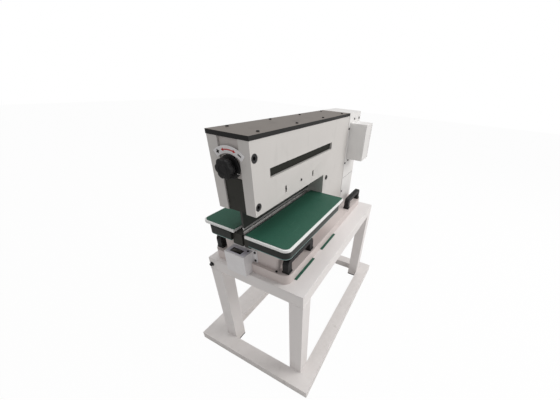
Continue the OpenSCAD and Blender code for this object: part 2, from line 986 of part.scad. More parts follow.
// Wedge drive
module wedge_bar() {
    color("silver")
        difference() {
            block([wedge_x0, wedge_y0, wedge_z0], [wedge_x1, wedge_y1, wedge_z1]);
            for (x = roller_x)
                translate([x - notch_wall, wedge_y1 + 1, wedge_z0])
                    rotate([90, 0, 0])
                        linear_extrude(height = wedge_w + 2)
                            polygon([[0, -1], [notch_l + 10, -1], [notch_l, 0], [0, notch_h]]);
            translate([0, chan_mid, drive_z])
                x_rod(rod_r, wedge_x1 - rod_seat, wedge_x1 + 1);
        }
}

module piston_rod() {
    color("gray")
        translate([0, chan_mid, drive_z]) {
            x_rod(rod_r, wedge_x1 - rod_seat, piston_x0 + piston_t);
            x_rod(cylinder_bore_r - running, piston_x0, piston_x0 + piston_t);
        }
}

module wedge_rail() {
    color("darkgray")
        block([end_plate_x1 + rail_start, chan_y0, rail_gap_z], [wedge_x1, chan_y1, rail_gap_z + rail_t]);
}

module knife_beam() {
    color("gray")
        difference() {
            union() {
                block([beam_x0, beam_y0, beam_z0], [beam_x1, beam_y1, beam_z1]);
                for (x = roller_x) {
                    block([x - ear_half, beam_y0, beam_z1], [x + ear_half, ear_y0, ear_z1]);
                    block([x - ear_half, ear_y1, beam_z1], [x + ear_half, beam_y1, ear_z1]);
                }
                for (x = spring_x)
                    block([x - lug_half, lug_y0, lug_z0], [x + lug_half, lug_y1, lug_z0 + 14]);
            }
            block([beam_x0 - 1, key_y0 - slide_gap, beam_z0 - 1],
                [beam_x0 + key_depth + 2, key_y1 + slide_gap, beam_z1 + 1]);
            block([beam_x1 - key_depth - 2, key_y0 - slide_gap, beam_z0 - 1],
                [beam_x1 + 1, key_y1 + slide_gap, beam_z1 + 1]);
            for (x = roller_x)
                translate([x, 0, roller_z])
                    y_rod(pin_r, beam_y0 - 1, beam_y1 + 1);
        }
}

module roller_pins() {
    color("silver")
        for (x = roller_x)
            translate([x, 0, roller_z])
                y_rod(pin_r, beam_y0, beam_y1);
}

module roller(i) {
    color("darkgray")
        translate([roller_x[i], 0, roller_z])
            difference() {
                y_rod(roller_r, chan_mid - roller_w / 2, chan_mid + roller_w / 2);
                y_rod(pin_r + running, chan_mid - roller_w, chan_mid + roller_w);
            }
}

module at_knife_screws() {
    for (x = knife_screw_x)
        translate([x, knife_y0 - clamp_t + knife_screw_sink, clamp_z0 + 18])
            facing_front()
                children();
}

module upper_knife() {
    color("gray")
        difference() {
            knife_bar(knife_x0, knife_x1, upper_edge_z, upper_knife_z1, upper_edge_z);
            at_knife_screws()
                screw_hole(knife_shank);
        }
}

module knife_clamp() {
    color([0.15, 0.15, 0.15])
        difference() {
            block([knife_x0, knife_y0 - clamp_t, clamp_z0], [knife_x1, knife_y0, upper_knife_z1]);
            at_knife_screws() {
                cylinder(r = screw_head_r + 0.5, h = knife_screw_sink + 1);
                screw_hole(knife_shank);
            }
        }
}

module knife_screws() {
    color("black")
        at_knife_screws()
            cap_screw(screw_r, knife_shank, screw_head_r, knife_screw_sink - 0.5);
}

module guide_keys() {
    color("darkgoldenrod") {
        block([end_plate_x1, key_y0, key_z0], [beam_x0 + key_depth, key_y1, key_z1]);
        block([beam_x1 - key_depth, key_y0, key_z0], [column_x0, key_y1, key_z1]);
    }
}

module column_block() {
    color("gray")
        block([column_x0, chan_y0, slab_z1], [column_x0 + end_plate_t, chan_y1, wedge_z0 - 6]);
}

module spring_seats() {
    color("gray")
        for (x = spring_x) {
            block([x - lug_half, chan_y0, spring_seat_z],
                [x + lug_half, knife_y0 - clamp_t - 1, spring_seat_z + spring_seat_t]);
            block([x - lug_half, knife_y1 + 1, spring_seat_z],
                [x + lug_half, chan_y1, spring_seat_z + spring_seat_t]);
        }
}

module return_springs() {
    color("silver")
        for (x = spring_x)
            for (y = spring_y)
                translate([x, y, spring_seat_z + spring_seat_t])
                    difference() {
                        cylinder(r = spring_r, h = lug_z0 - spring_seat_z - spring_seat_t);
                        translate([0, 0, -1])
                            cylinder(r = spring_r - 1.5,
                                h = lug_z0 - spring_seat_z - spring_seat_t + 2);
                    }
}

// Housing on the right
module bulkhead() {
    color("lightgray")
        difference() {
            block([head_x1, head_y0, slab_z1], [bulk_x1, head_y1, head_z1]);
            translate([0, chan_mid, drive_z])
                x_rod(rod_r + 4, head_x1 - 1, bulk_x1 + 1);
            at_edge_screws()
                screw_hole(edge_shank);
        }
}

module air_cylinder() {
    color("silver")
        difference() {
            block([bulk_x1, chan_mid - cylinder_w / 2, drive_z - cylinder_w / 2],
                [cyl_x1, chan_mid + cylinder_w / 2, drive_z + cylinder_w / 2]);
            translate([0, chan_mid, drive_z]) {
                x_rod(cylinder_bore_r, bulk_x1 + cyl_cap, cyl_x1 - cyl_cap);
                x_rod(rod_r + running, bulk_x1 - 1, bulk_x1 + cyl_cap + 1);
            }
        }
}

inlet_w = 28;
inlet_h = 22;
inlet_x = cover_x1 - 62;
inlet_z = slab_z1 + 60;
switch_z = inlet_z + 40;
switch_w = 22;
switch_h = 16;
module right_cover() {
    color("white")
        difference() {
            block([head_x1, cover_y0, slab_z1], [cover_x1, cover_y1, cover_z1]);
            block([head_x1 - 1, head_y0, slab_z1 - 1],
                [cover_x1 - sheet_t, head_y1, cover_z1 - sheet_t]);
            block([inlet_x - inlet_w / 2, head_y1 - 1, inlet_z - inlet_h / 2],
                [inlet_x + inlet_w / 2, cover_y1 + 1, inlet_z + inlet_h / 2]);
            block([inlet_x - switch_w / 2, head_y1 - 1, switch_z - switch_h / 2],
                [inlet_x + switch_w / 2, cover_y1 + 1, switch_z + switch_h / 2]);
            at_edge_screws()
                screw_hole(edge_shank);
            at_sheet_screws()
                screw_hole(sheet_shank);
        }
}

module control_box() {
    color("whitesmoke")
        difference() {
            block([control_x0, control_y0, control_z1 - control_h],
                [control_x0 + control_w, cover_y0, control_z1]);
            block([control_x0 + sheet_t, control_y0 + sheet_t, control_z1 - control_h + sheet_t],
                [control_x0 + control_w - sheet_t, cover_y0 + 1, control_z1 - sheet_t]);
        }
}

module power_inlet() {
    color([0.1, 0.1, 0.1])
        translate([inlet_x, cover_y1, inlet_z])
            difference() {
                union() {
                    block([-inlet_w / 2 - 8, 0, -inlet_h / 2 - 3],
                        [inlet_w / 2 + 8, 2.5, inlet_h / 2 + 3]);
                    block([-inlet_w / 2, -24, -inlet_h / 2], [inlet_w / 2, 0, inlet_h / 2]);
                }
                block([-inlet_w / 2 + 2.5, -18, -inlet_h / 2 + 2.5],
                    [inlet_w / 2 - 2.5, 3, inlet_h / 2 - 2.5]);
            }
}

module rocker_switch() {
    rocker_gap = 0.6;
    half = switch_h / 2 - rocker_gap;
    color([0.1, 0.1, 0.1])
        translate([inlet_x - switch_w / 2 + rocker_gap, cover_y1 - 2, switch_z])
            rotate([90, 0, 90])
                linear_extrude(height = switch_w - 2 * rocker_gap)
                    polygon([[-2, -half], [2.5, -half], [1, 0], [2.5, half], [-2, half]]);
}

// Counter
module counter_box() {
    color("white")
        difference() {
            union() {
                block([counter_x0, counter_y0, counter_z0], [slab_x0, counter_y1, counter_z1]);
                block([slab_x0, counter_y0, slab_z1], [counter_x1, counter_y1, counter_z1]);
                block([counter_x1, counter_y0 - flange_reach, slab_z1], [ped_x0, counter_y1, counter_z1 + flange_rise]);
            }
            block([counter_x0 + sheet_t, counter_y0 + sheet_t, slab_z1 + sheet_t],
                [counter_x1 - sheet_t, counter_y1 - sheet_t, counter_z1 - sheet_t]);
            translate([button_x, button_y, counter_z1 - sheet_t - 1])
                cylinder(r = button_r + button_gap, h = sheet_t + 2);
            at_flange_screws()
                screw_hole(flange_shank);
        }
}

module counter_display() {
    color("thistle")
        difference() {
            block([counter_x0 + 5, counter_y0 + 5, counter_z1],
                [counter_x1 - 5, counter_y1 - 8, counter_z1 + counter_face_t]);
            block([counter_x0 + 11, counter_y0 + 24, counter_z1 + 0.5],
                [counter_x0 + 30, counter_y1 - 20, counter_z1 + counter_face_t + 1]);
            translate([button_x, button_y, counter_z1 - 1])
                cylinder(r = button_r + button_gap, h = counter_face_t + 2);
        }
}

module reset_button() {
    color("dimgray")
        translate([button_x, button_y, counter_z1 - sheet_t])
            cylinder(r = button_r, h = sheet_t + counter_face_t + button_travel);
}

floor_side_rails();
floor_cross_rails();
stand_legs();
stand_rails();
stand_top_plate();
leg_pads();
earth_bolt();
base_slab();
pedestal();
edge_strips();
base_screws();
front_handles();
rear_handles();
front_support();
rear_support();
front_tray();
rear_tray();
mats();
lower_beam();
lower_clamp();
lower_knife();
front_plate();
rear_plate();
top_plate();
plate_bolts();
cover_screws();
adjusting_screws();
window_strip();
end_plate();
knob_bracket();
knob_bush();
scale_plate();
depth_knob();
knob_skirt();
stop_screw();
stop_nut();
wedge_bar();
piston_rod();
wedge_rail();
knife_beam();
roller_pins();
roller(0);  // roller_left
roller(1);  // roller_middle
roller(2);  // roller_right
upper_knife();
knife_clamp();
knife_screws();
guide_keys();
column_block();
spring_seats();
return_springs();
bulkhead();
air_cylinder();
right_cover();
control_box();
counter_box();
counter_display();
reset_button();
power_inlet();
rocker_switch();
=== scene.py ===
"""Looks of a bench machine that parts scored circuit boards between two straight knives.

The frame gives every piece its place. The machine's slab and head are finished in pale
enamel, its tables carry green mats, and its stand is white square tube.
"""

import json
import math

import bmesh
import bpy
from mathutils import Matrix, Vector


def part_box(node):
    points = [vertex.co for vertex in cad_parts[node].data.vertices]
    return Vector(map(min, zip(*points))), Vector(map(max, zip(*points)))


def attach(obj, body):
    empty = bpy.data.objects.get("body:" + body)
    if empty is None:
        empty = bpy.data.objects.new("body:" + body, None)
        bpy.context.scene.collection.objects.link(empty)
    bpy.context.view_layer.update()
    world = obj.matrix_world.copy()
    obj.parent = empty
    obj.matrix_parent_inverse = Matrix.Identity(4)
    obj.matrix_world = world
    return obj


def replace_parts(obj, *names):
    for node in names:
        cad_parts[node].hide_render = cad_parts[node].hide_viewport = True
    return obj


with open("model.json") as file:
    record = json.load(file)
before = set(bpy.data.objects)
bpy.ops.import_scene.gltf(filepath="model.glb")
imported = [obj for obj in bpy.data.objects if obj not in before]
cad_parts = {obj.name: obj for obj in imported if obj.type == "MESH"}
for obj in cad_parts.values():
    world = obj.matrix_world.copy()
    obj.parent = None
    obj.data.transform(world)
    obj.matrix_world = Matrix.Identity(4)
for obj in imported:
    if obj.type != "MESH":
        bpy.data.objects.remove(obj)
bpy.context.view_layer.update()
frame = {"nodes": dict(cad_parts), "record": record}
MM = 0.001
ROOT = "machine"


# ---------------------------------------------------------------- shader sums


class Wire:
    """An output of a shader node. Sums on it add Math nodes."""

    def __init__(self, finish, socket):
        self.finish = finish
        self.socket = socket

    def sum(self, operation, *values):
        return self.finish.node("Math", {"operation": operation}, dict(enumerate(values)))

    def __add__(self, other):
        return self.sum("ADD", self, other)

    def __sub__(self, other):
        return self.sum("SUBTRACT", self, other)

    def __mul__(self, other):
        return self.sum("MULTIPLY", self, other)

    def __rsub__(self, other):
        return self.sum("SUBTRACT", other, self)

    __radd__ = __add__
    __rmul__ = __mul__

    def above(self, low, soft):
        """0 below low, 1 above low + soft."""
        return self.finish.node(
            "MapRange", {"interpolation_type": "SMOOTHSTEP"},
            {"Value": self, "From Min": low, "From Max": low + soft})


class Finish:
    """A material and the one way of adding nodes to it."""

    def __init__(self, name, **sockets):
        self.material = bpy.data.materials.new(name)
        self.material.use_nodes = True
        self.tree = self.material.node_tree
        self.shader = self.tree.nodes["Principled BSDF"]
        self.set(**sockets)

    def plug(self, socket, value):
        if isinstance(value, Wire):
            self.tree.links.new(value.socket, socket)
        elif isinstance(value, tuple) and len(value) == 3 and socket.type == "RGBA":
            socket.default_value = (*value, 1)
        else:
            socket.default_value = value

    def node(self, kind, settings, sockets, output=0):
        node = self.tree.nodes.new("ShaderNode" + kind)
        for name, value in settings.items():
            setattr(node, name, value)
        for name, value in sockets.items():
            self.plug(node.inputs[name], value)
        return Wire(self, node.outputs[output])

    def set(self, **sockets):
        """Base_Color=... sets the shader's Base Color socket, and so on."""
        for name, value in sockets.items():
            self.plug(self.shader.inputs[name.replace("_", " ")], value)
        return self

    def place(self, stretch=(1, 1, 1)):
        spot = self.node("TexCoord", {}, {}, "Object")
        return self.node("Mapping", {}, {"Vector": spot, "Scale": stretch})

    def axis(self, letter):
        return self.node("SeparateXYZ", {}, {"Vector": self.place()}, letter)

    def facing(self, letter):
        normal = self.node("NewGeometry", {}, {}, "Normal")
        return self.node("SeparateXYZ", {}, {"Vector": normal}, letter)

    def noise(self, scale, detail=3, stretch=(1, 1, 1)):
        """Noise from 0 to 1 whose grains are about 1/scale metres across."""
        return self.node("TexNoise", {}, {
            "Vector": self.place(stretch), "Scale": scale, "Detail": detail})

    def cells(self, scale):
        return self.node("TexVoronoi", {}, {"Vector": self.place(), "Scale": scale}, "Distance")

    def mix(self, a, b, share):
        """Colour a where share is 0 and b where it is 1."""
        mixer = self.tree.nodes.new("ShaderNodeMix")
        mixer.data_type = "RGBA"
        for name, value in (("Factor_Float", share), ("A_Color", a), ("B_Color", b)):
            self.plug(next(s for s in mixer.inputs if s.identifier == name), value)
        return Wire(self, next(s for s in mixer.outputs if s.identifier == "Result_Color"))

    def bump(self, height, depth):
        """Normal of a surface whose height runs from 0 to depth metres."""
        return self.set(Normal=self.node("Bump", {}, {"Height": height, "Distance": depth}))


def shade(colour, factor):
    return tuple(min(1, c * factor) for c in colour)


# ---------------------------------------------------------------- finishes


def enamel(name, colour, rough=0.42, grime=0.10):
    """Powder coat: fine orange peel, faint clouds and a few grey handling smears."""
    f = Finish(name, IOR=1.5)
    smears = f.noise(24, 5, (1, 1, 0.35)).above(0.56, 0.2)
    tone = f.mix(shade(colour, 1.03), shade(colour, 0.95), f.noise(7, 4))
    tone = f.mix(tone, shade(colour, 0.80), smears * grime * 3)
    f.set(Base_Color=tone, Roughness=rough + 0.16 * (f.noise(45) - 0.5) + 0.1 * smears)
    return f.bump(f.noise(650, 2), 0.00012)


def stand_enamel(name, colour):
    """Enamel of the stand and the floor frame, dusty and scuffed towards the floor."""
    f = Finish(name, IOR=1.5)
    z = f.axis("Z")
    dust = (1 - z.above(0.0, 0.12)) * f.noise(30, 5)
    scuffs = f.noise(28, 5, (1, 1, 0.3)).above(0.60, 0.22) * (1 - z.above(0.05, 0.3))
    tone = f.mix(shade(colour, 1.03), shade(colour, 0.94), f.noise(6, 4))
    tone = f.mix(tone, (0.42, 0.38, 0.33), dust * 0.35)
    tone = f.mix(tone, (0.42, 0.40, 0.37), scuffs * 0.35)
    f.set(Base_Color=tone, Roughness=0.40 + 0.25 * dust + 0.12 * (f.noise(50) - 0.5))
    return f.bump(f.noise(600, 2), 0.00012)


def cast_paint(name, colour):
    """Thick paint over a casting: broad ripples and a fine stipple."""
    f = Finish(name, IOR=1.5)
    tone = f.mix(shade(colour, 1.04), shade(colour, 0.92), f.noise(9, 5))
    tone = f.mix(tone, shade(colour, 0.72), f.noise(80, 4).above(0.66, 0.08) * 0.25)
    f.set(Base_Color=tone, Roughness=0.46 + 0.18 * (f.noise(60) - 0.5))
    return f.bump(f.noise(420, 3) * 0.7 + f.noise(40, 2) * 0.6, 0.0003)


def blackened(name, colour):
    """Oxide-black steel with an oily, uneven sheen."""
    f = Finish(name, IOR=1.4)
    tone = f.mix(colour, shade(colour, 2.2), f.noise(90, 4))
    f.set(Base_Color=tone, Roughness=0.38 + 0.25 * (f.noise(130) - 0.5))
    return f.bump(f.noise(1500, 2), 0.00004)


def top_with_painted_reflection():
    """Black oxide plate whose ground top face is painted warm brown-grey with brushed streaks,
    a painted reflection.
    """
    f = Finish("top_with_painted_reflection", IOR=1.42)
    streaks = f.noise(60, 4, (0.08, 3, 1))
    # painted reflection: faces turned upwards get the lighter brown-grey, the sides stay black
    painted_reflection_on_top = f.facing("Z").above(0.7, 0.2)
    # warm brown-grey of the painted reflection, streaked by the brushing
    face = f.mix((0.150, 0.132, 0.118), (0.215, 0.190, 0.170), streaks)
    face = f.mix(face, (0.09, 0.08, 0.072), f.noise(14, 4).above(0.55, 0.25) * 0.5)
    tone = f.mix((0.008, 0.008, 0.008), face, painted_reflection_on_top)
    f.set(Base_Color=tone, Roughness=0.40 + 0.22 * (streaks - 0.5))
    return f.bump(f.noise(220, 3, (0.05, 2, 1)), 0.00006)


def anodised():
    """Dark anodised plate whose lower edge is worn to bare metal and carries a painted
    highlight, bright grey below and teal above.
    """
    f = Finish("anodised", IOR=1.33)
    z = f.axis("Z")
    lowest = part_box("front_support")[0].z
    # lowest 3.2 mm of the side faces: bare metal, and the band where the highlight is painted
    edge = 1 - z.above(lowest + 3.2 * MM, 0.6 * MM)
    side = 1 - f.facing("Z").sum("ABSOLUTE", f.facing("Z")).above(0.5, 0.2)
    dark = f.mix((0.014, 0.017, 0.016), (0.026, 0.030, 0.027), f.noise(70, 4))
    # painted highlight: bright grey in the lowest 1.4 mm, teal above it
    painted_highlight = f.mix((0.50, 0.52, 0.50), (0.10, 0.26, 0.25), z.above(lowest + 1.4 * MM, 0.5 * MM))
    f.set(Base_Color=f.mix(dark, painted_highlight, edge * side), Metallic=0.7 * edge * side,
          Roughness=0.36 + 0.2 * (f.noise(200) - 0.5))
    return f.bump(f.noise(900, 2), 0.00004)


def machined(name, colour, rough=0.34, along=(0.06, 1, 1), depth=0.00004):
    """Steel or alloy with fine tool lines along one axis."""
    f = Finish(name, Metallic=0.9)
    lines = f.noise(900, 3, along)
    stain = f.noise(25, 4).above(0.52, 0.3)
    tone = f.mix(shade(colour, 1.08), shade(colour, 0.78), lines)
    tone = f.mix(tone, shade(colour, 0.62), stain * 0.35)
    f.set(Base_Color=tone, Roughness=rough + 0.18 * (lines - 0.5) + 0.12 * stain)
    return f.bump(lines, depth)


def knife_steel():
    """Ground tool steel, bright on the bevel and darker on the flank."""
    f = Finish("knife_steel", Metallic=0.6)
    grind = f.noise(1400, 2, (1, 1, 0.04))
    bevel = 1 - f.axis("Z").above(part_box("upper_knife")[0].z + 9 * MM, 1 * MM)
    tone = f.mix((0.045, 0.046, 0.043), (0.075, 0.076, 0.072), grind)
    tone = f.mix(tone, (0.62, 0.62, 0.61), bevel)
    f.set(Base_Color=tone, Roughness=0.38 + 0.2 * (grind - 0.5))
    return f.bump(grind, 0.00003)


def moulded(name, colour, rough=0.5, grain=1100, depth=0.0001):
    """Textured moulded plastic."""
    f = Finish(name, IOR=1.38)
    pebbles = f.cells(grain)
    tone = f.mix(colour, shade(colour, 1.25), pebbles)
    tone = f.mix(tone, shade(colour, 0.85), f.noise(35, 4) * 0.5)
    f.set(Base_Color=tone, Roughness=rough + 0.15 * (f.noise(90) - 0.5))
    return f.bump(pebbles, depth)


def green_mat():
    """Green rubber mat: leather-like stipple and faint scratches from the boards."""
    f = Finish("green_mat", IOR=1.5)
    stipple = f.cells(700)
    scratches = f.noise(90, 3, (0.05, 1, 1)).above(0.66, 0.04) * f.noise(8).above(0.5, 0.1)
    tone = f.mix((0.0165, 0.098, 0.060), (0.021, 0.118, 0.074), f.noise(10, 4))
    tone = f.mix(tone, (0.010, 0.062, 0.040), stipple.above(0.35, 0.5) * 0.6)
    tone = f.mix(tone, (0.06, 0.19, 0.13), scratches * 0.25)
    f.set(Base_Color=tone, Roughness=0.62 + 0.14 * (f.noise(60) - 0.5))
    return f.bump(stipple, 0.00018)


def rubber(name, colour, ior=1.48):
    """Dull rubber or foam with a fine open grain."""
    f = Finish(name, IOR=ior)
    tone = f.mix(colour, shade(colour, 1.8), f.noise(160, 4))
    f.set(Base_Color=tone, Roughness=0.78 + 0.1 * (f.noise(90) - 0.5))
    return f.bump(f.noise(900, 3), 0.00012)


def lens(name, colour):
    """Smoked window with a hard clear face."""
    f = Finish(name, IOR=1.49, Coat_Roughness=0.05)
    f.set(Base_Color=f.mix(colour, shade(colour, 1.5), f.noise(60)), Coat_Weight=0.6,
          Roughness=0.16 + 0.12 * f.noise(180, 4))
    return f


def printed(name, colour):
    """Screen-printed ink."""
    f = Finish(name)
    f.set(Base_Color=f.mix(colour, shade(colour, 0.8), f.noise(500, 3)),
          Roughness=0.5 + 0.1 * (f.noise(300) - 0.5))
    return f.bump(f.noise(1200), 0.00002)


FINISHES = {
    "white_enamel": stand_enamel("stand_white", (0.82, 0.79, 0.78)),
    "grey_enamel": enamel("head_grey", (0.64, 0.62, 0.60)),
    "pale_cast": cast_paint("slab_paint", (0.68, 0.61, 0.59)),
    "sheet_white": enamel("cover_white", (0.80, 0.79, 0.78), 0.36),
    "rubber_black": rubber("pad_rubber", (0.020, 0.020, 0.020)),
    "rubber_green": green_mat(),
    "black_oxide": blackened("fastener_black", (0.012, 0.012, 0.013)),
    "top_satin": top_with_painted_reflection(),
    "dark_anodised": anodised(),
    "dark_steel": machined("holder_steel", (0.060, 0.060, 0.054), 0.5),
    "bright_steel": machined("bright_steel", (0.58, 0.57, 0.56), 0.28),
    "bronze": machined("bronze", (0.50, 0.32, 0.13), 0.35, (1, 1, 0.06)),
    "alloy": machined("cylinder_alloy", (0.60, 0.60, 0.61), 0.4),
    "moulded_black": moulded("grip_black", (0.008, 0.008, 0.009), 0.5),
    "moulded_white": moulded("case_white", (0.78, 0.77, 0.78), 0.45, 1400, 0.00005),
    "display_grey": moulded("panel_lilac", (0.66, 0.64, 0.71), 0.4, 1400, 0.00004),
    "window_dark": rubber("window_dark", (0.017, 0.018, 0.015), 1.25),
}
TRAY_WHITE = enamel("tray_white", (0.86, 0.87, 0.86), 0.34)
OWN_FINISH = {
    "front_tray": TRAY_WHITE,
    "rear_tray": TRAY_WHITE,
    "upper_knife": knife_steel(),
    "adjusting_screws": blackened("screw_black", (0.006, 0.006, 0.006)),
    "knob_bracket": enamel("bracket_grey", (0.60, 0.56, 0.54), 0.4),
}
INK_RED = printed("ink_red", (0.62, 0.03, 0.03))
INK_BLACK = printed("ink_black", (0.02, 0.02, 0.02))
INK_WHITE = printed("ink_white", (0.85, 0.85, 0.85))
MAT_BORDER = rubber("mat_border", (0.006, 0.022, 0.016))
SEAM_DARK = rubber("seam_dark", (0.05, 0.05, 0.05))
GLASS_DARK = lens("display_glass", (0.010, 0.011, 0.010))
SLOT_OF = {s["node"]: s["material_slot"] for s in frame["record"]["subparts"]}
GROUPS = frame["record"]["behaviour"]["bodies"]
BODY_OF = {node: body for body, nodes in GROUPS.items() for node in nodes}


def finish_of(node):
    return OWN_FINISH.get(node, FINISHES[SLOT_OF[node]])


# ---------------------------------------------------------------- making pieces


def dress(obj, finish):
    obj.data.materials.clear()
    obj.data.materials.append(finish.material)
    return obj


def piece(name, shape, finish, body=ROOT, smooth=40):
    """Turns a bmesh into a piece of the object that rides on a body."""
    mesh = bpy.data.meshes.new(name)
    shape.to_mesh(mesh)
    shape.free()
    obj = bpy.data.objects.new(name, mesh)
    bpy.context.scene.collection.objects.link(obj)
    dress(obj, finish)
    mesh.shade_smooth()
    mesh.set_sharp_from_angle(angle=math.radians(smooth))
    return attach(obj, body)


def copy_of(node):
    """The node's solid as one closed mesh with whole flat faces."""
    shape = bmesh.new()
    shape.from_mesh(frame["nodes"][node].data)
    bmesh.ops.remove_doubles(shape, verts=shape.verts, dist=0.01 * MM)
    bmesh.ops.dissolve_limit(
        shape, angle_limit=math.radians(0.6), verts=shape.verts, edges=shape.edges)
    return shape


def round_edges(shape, width, segments=2):
    """Bevels the edges that turn by more than 35 degrees."""
    sharp = [e for e in shape.edges if e.calc_face_angle(0) > math.radians(35)]
    bmesh.ops.bevel(shape, geom=sharp, offset=width, offset_type="OFFSET", affect="EDGES",
                    segments=segments, profile=0.5, material=-1, clamp_overlap=True)


def softened(node, width):
    """The CAD node with its edges rounded, in the same finish."""
    shape = copy_of(node)
    round_edges(shape, width)
    obj = piece(node + "_soft", shape, finish_of(node), BODY_OF[node], 15)
    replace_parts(obj, node)


def bar(shape, lo, hi):
    """Adds a straight bar between two corners."""
    lo, hi = Vector(lo), Vector(hi)
    place = Matrix.Translation((lo + hi) / 2) @ Matrix.Diagonal((*(hi - lo), 1))
    bmesh.ops.create_cube(shape, size=1, matrix=place)


def turned(profile, start, axis, steps=48):
    """A solid turned from (along, radius) pairs about an axis through start."""
    shape = bmesh.new()
    axis, start = Vector(axis).normalized(), Vector(start)
    across = axis.orthogonal().normalized()
    points = [shape.verts.new(start + axis * a + across * r) for a, r in profile]
    line = [shape.edges.new(pair) for pair in zip(points, points[1:])]
    bmesh.ops.spin(shape, geom=points + line, cent=start, axis=axis, angle=math.tau,
                   steps=steps, use_merge=True)
    bmesh.ops.remove_doubles(shape, verts=shape.verts, dist=0.005 * MM)
    bmesh.ops.recalc_face_normals(shape, faces=shape.faces)
    return shape


# ---------------------------------------------------------------- CAD nodes

EDGE_WIDTHS = {
    "floor_side_rails": 2.0, "floor_cross_rails": 2.0, "stand_legs": 2.4,
    "stand_rails": 2.2, "stand_top_plate": 1.2, "leg_pads": 1.0, "base_slab": 3.0,
    "pedestal": 2.0, "front_handles": 2.6, "rear_handles": 2.6, "front_support": 1.0,
    "rear_support": 1.0, "front_tray": 1.6, "rear_tray": 1.6,
    "front_plate": 1.5, "rear_plate": 1.5, "top_plate": 0.8, "knob_bracket": 0.8,
    "end_plate": 0.8, "scale_plate": 0.3, "knob_skirt": 1.2, "right_cover": 1.6,
    "control_box": 1.6, "counter_box": 1.2, "counter_display": 0.3, "knife_clamp": 0.8,
    "knife_beam": 0.8, "wedge_bar": 0.6,
}


def dress_frame():
    """Gives every CAD node its finish, and rounds the edges of the larger ones."""
    for node, obj in frame["nodes"].items():
        dress(obj, finish_of(node))
    for node, width in EDGE_WIDTHS.items():
        softened(node, width * MM)


def mats():
    """The green mats, each with the darker border of its pressed edge."""
    shape = copy_of("mats")
    tops = [face for face in shape.faces if face.normal.z > 0.9]
    border = bmesh.ops.inset_individual(shape, faces=tops, thickness=4.5 * MM, depth=0)["faces"]
    sides = [face for face in shape.faces if abs(face.normal.z) < 0.5]
    for face in border + sides:
        face.material_index = 1
    obj = piece("mats_bordered", shape, FINISHES["rubber_green"], ROOT, 25)
    obj.data.materials.append(MAT_BORDER.material)
    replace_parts(obj, "mats")


# ---------------------------------------------------------------- own pieces


def weld_beads():
    """Painted weld beads where the legs meet the rails of the stand."""
    legs_lo, legs_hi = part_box("stand_legs")
    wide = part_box("stand_top_plate")[0].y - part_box("floor_side_rails")[0].y - 8 * MM
    beads = bmesh.new()
    for x0 in (legs_lo.x, legs_hi.x - wide):
        for y0 in (legs_lo.y, legs_hi.y - wide):
            weld_ring(beads, x0, y0, wide, legs_hi.z)
    piece("weld_beads", beads, FINISHES["white_enamel"], ROOT)


def weld_ring(shape, x0, y0, wide, z):
    """A bead of weld round the top of one leg."""
    corners = [(x0, y0), (x0 + wide, y0), (x0 + wide, y0 + wide), (x0, y0 + wide)]
    for (ax, ay), (bx, by) in zip(corners, corners[1:] + corners[:1]):
        turn = Matrix.Rotation(math.atan2(by - ay, bx - ax), 4, "Z")
        lie = Matrix.Rotation(math.pi / 2, 4, "Y")
        place = Matrix.Translation(((ax + bx) / 2, (ay + by) / 2, z)) @ turn @ lie
        bmesh.ops.create_cone(shape, cap_ends=True, segments=10, radius1=1.6 * MM,
                              radius2=1.6 * MM, depth=wide, matrix=place)


def knob():
    """Six-lobed knob with a dished end, over its skirt and its white pointer."""
    lo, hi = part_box("depth_knob")
    skirt_lo, skirt_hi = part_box("knob_skirt")
    centre_y = (lo.y + hi.y) / 2
    centre_z = (skirt_lo.z + skirt_hi.z) / 2
    radius = (hi.y - lo.y) / 2
    length = hi.x - lo.x
    lobes = 6
    lobe_depth = 0.15
    pointer_angle = 118
    profile = [(0.05, 0), (0.05, 0.42), (0, 0.46), (0, 0.56), (0.05, 0.60), (0.05, 0.86),
               (0.08, 0.94), (0.15, 1.0), (0.66, 1.0), (0.75, 0.93), (0.82, 0.74), (1, 0.70),
               (1, 0)]
    grip = turned([(a * length, r * radius) for a, r in profile],
                  (lo.x, centre_y, centre_z), (1, 0, 0), 96)
    for v in grip.verts:
        out = Vector((0, v.co.y - centre_y, v.co.z - centre_z))
        share = max(0, out.length / radius - 0.6) / 0.4
        hollow = 0.5 - 0.5 * math.cos(lobes * math.atan2(out.z, out.y))
        v.co -= out * share * lobe_depth * hollow ** 2
    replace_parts(piece("lobed_knob", grip, FINISHES["moulded_black"], "knob"),
                "depth_knob")
    mark = bmesh.new()
    half = 1.2 * MM
    bar(mark, (skirt_lo.x - 0.15 * MM, centre_y - half, skirt_hi.z - 5 * MM),
        (skirt_lo.x + 0.1 * MM, centre_y + half, skirt_hi.z - 1.4 * MM))
    bar(mark, (skirt_lo.x + 1.4 * MM, centre_y - half, skirt_hi.z - 0.6 * MM),
        (skirt_hi.x - 1.4 * MM, centre_y + half, skirt_hi.z + 0.1 * MM))
    bmesh.ops.rotate(mark, verts=mark.verts, cent=(0, centre_y, centre_z),
                     matrix=Matrix.Rotation(math.radians(pointer_angle), 4, "X"))
    piece("pointer", mark, INK_WHITE, "knob", 30)


def around(angle):
    """Unit vector in the YZ plane at an angle in degrees from +Z towards +Y."""
    turn = math.radians(angle)
    return Vector((0, math.sin(turn), math.cos(turn)))


def arc_band(shape, centre, inner, outer, start, end, steps=24):
    """A flat printed band along an arc in the YZ plane."""
    ends = [shape.verts.new(centre + around(start) * r) for r in (inner, outer)]
    line = shape.edges.new(ends)
    bmesh.ops.spin(shape, geom=ends + [line], cent=centre, axis=(-1, 0, 0),
                   angle=math.radians(end - start), steps=steps)


def arrow_tip(shape, centre, radius, angle, way, size):
    """A printed triangle whose point leads along the arc."""
    out = around(angle)
    along = around(angle + 90) * way
    corners = [out * (radius + size * 0.55), out * (radius - size * 0.55),
               out * radius + along * size]
    shape.faces.new([shape.verts.new(centre + c) for c in corners])


